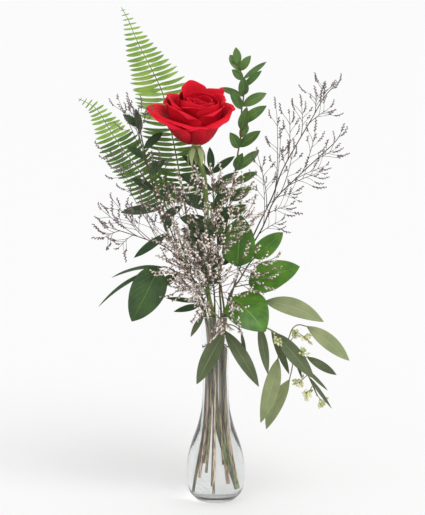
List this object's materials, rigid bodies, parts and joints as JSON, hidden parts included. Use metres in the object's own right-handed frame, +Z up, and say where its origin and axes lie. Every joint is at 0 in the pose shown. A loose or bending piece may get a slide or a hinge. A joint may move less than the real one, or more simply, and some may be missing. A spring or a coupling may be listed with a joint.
{
  "type": "rose in a bud vase",
  "caption": "Clear glass bud vase holding one red rose with fern, leafy stems, eucalyptus and sea lavender.",
  "frame": {"origin": "middle of the flat base of the vase", "axes": "+Z up the vase, +X to the right seen from the front, +Y away from the front"},
  "size_m": [0.2722, 0.1105, 0.4944],
  "materials": {
    "glass": "clear polished glass",
    "water": "clear still water",
    "rose_stem": "smooth green stem, paler under the bloom",
    "petals": "velvety red petals",
    "fern": "satin light green fronds",
    "myrtle": "glossy dark green leaves on a reddish twig",
    "broad_leaf": "satin leathery green leaves",
    "eucalyptus": "matte sage leaves with cream seed clusters",
    "sea_lavender": "dry matte twigs with tiny mauve and white florets"
  },
  "bodies": {
    "root": {"vase": "glass", "water": "water", "rose_stem": "rose_stem", "rose_bloom": "petals", "fern_tall": "fern", "fern_left": "fern", "myrtle_tall": "myrtle", "myrtle_left": "myrtle", "myrtle_centre": "myrtle", "salal_right": "broad_leaf", "salal_left": "broad_leaf", "eucalyptus_neck": "eucalyptus", "eucalyptus_right": "eucalyptus", "sea_lavender_right": "sea_lavender", "sea_lavender_left": "sea_lavender", "sea_lavender_centre": "sea_lavender"}
  },
  "joints": []
}
